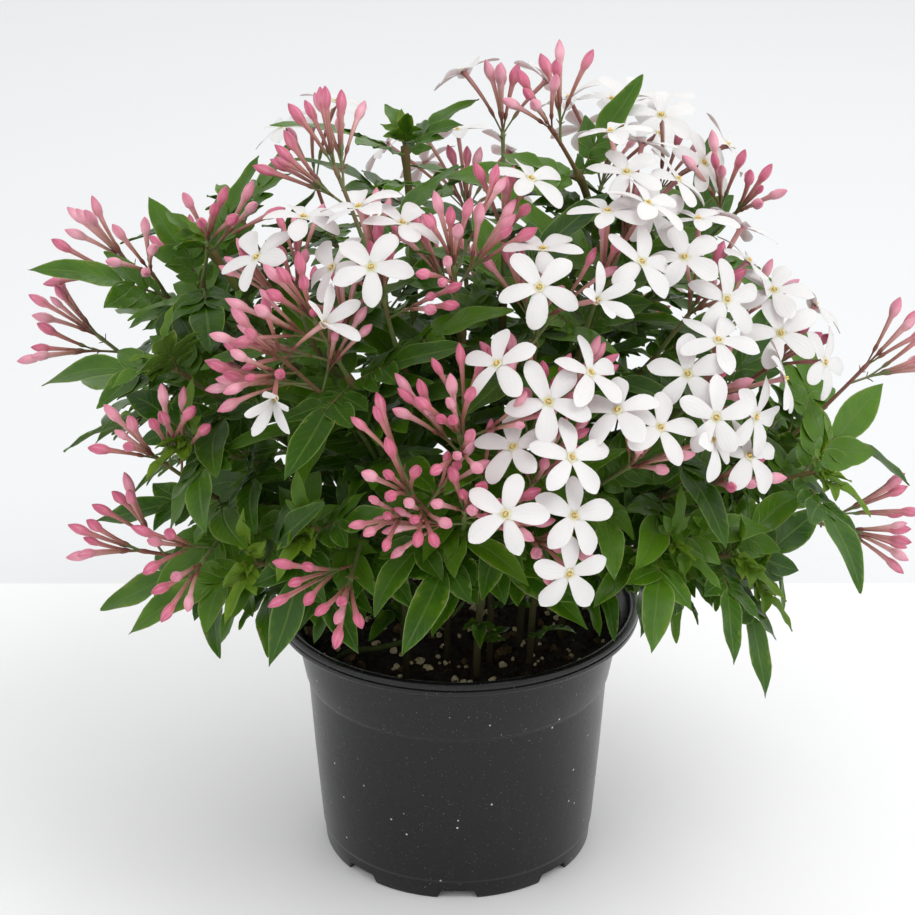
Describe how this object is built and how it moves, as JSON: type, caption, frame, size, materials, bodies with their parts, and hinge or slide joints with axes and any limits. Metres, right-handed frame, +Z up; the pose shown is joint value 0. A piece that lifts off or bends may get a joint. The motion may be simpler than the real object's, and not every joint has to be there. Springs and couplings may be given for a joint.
{
  "type": "potted pink jasmine",
  "caption": "Twining pink jasmine in a round nursery pot: arched stems with compound leaves, sprays of slender pink buds and open white star flowers.",
  "frame": {"origin": "on the pot's axis, at the surface that it stands on, in the flat middle of the pot's foot", "axes": "+Z up along the pot's axis; -Y is the plant's front; +X is its right-hand side seen from the front"},
  "size_m": [0.3694, 0.3125, 0.3502],
  "materials": {
    "pot": "black injection-moulded plastic, satin, with pale dust and scuffs",
    "soil": "dark moist peat and bark crumbs with pale perlite grains",
    "vine": "living stems, green to woody brown, and satin mid-green leaflets with paler margins",
    "spray": "matte petals, white inside and flushed pink outside, deep pink buds, maroon stalks"
  },
  "bodies": {
    "root": {"pot": "pot", "soil": "soil", "vine_01": "vine", "vine_02": "vine", "vine_03": "vine", "vine_04": "vine", "vine_05": "vine", "vine_06": "vine", "vine_07": "vine", "vine_08": "vine", "vine_09": "vine", "vine_10": "vine", "vine_11": "vine", "vine_12": "vine", "vine_13": "vine", "vine_14": "vine", "vine_15": "vine", "spray_01": "spray", "spray_02": "spray", "spray_03": "spray", "spray_04": "spray", "spray_05": "spray", "spray_06": "spray", "spray_07": "spray", "spray_08": "spray", "spray_09": "spray", "spray_10": "spray", "spray_11": "spray", "spray_12": "spray", "spray_13": "spray", "spray_14": "spray", "spray_15": "spray", "spray_16": "spray", "spray_17": "spray", "spray_18": "spray", "spray_19": "spray", "spray_20": "spray", "spray_21": "spray", "spray_22": "spray", "spray_23": "spray", "spray_24": "spray", "spray_25": "spray", "spray_26": "spray", "spray_27": "spray", "spray_28": "spray", "spray_29": "spray", "spray_30": "spray", "spray_31": "spray", "spray_32": "spray", "spray_33": "spray", "spray_34": "spray", "spray_35": "spray", "spray_36": "spray", "spray_37": "spray", "spray_38": "spray", "spray_39": "spray", "spray_40": "spray", "spray_41": "spray", "spray_42": "spray", "spray_43": "spray"}
  },
  "joints": []
}
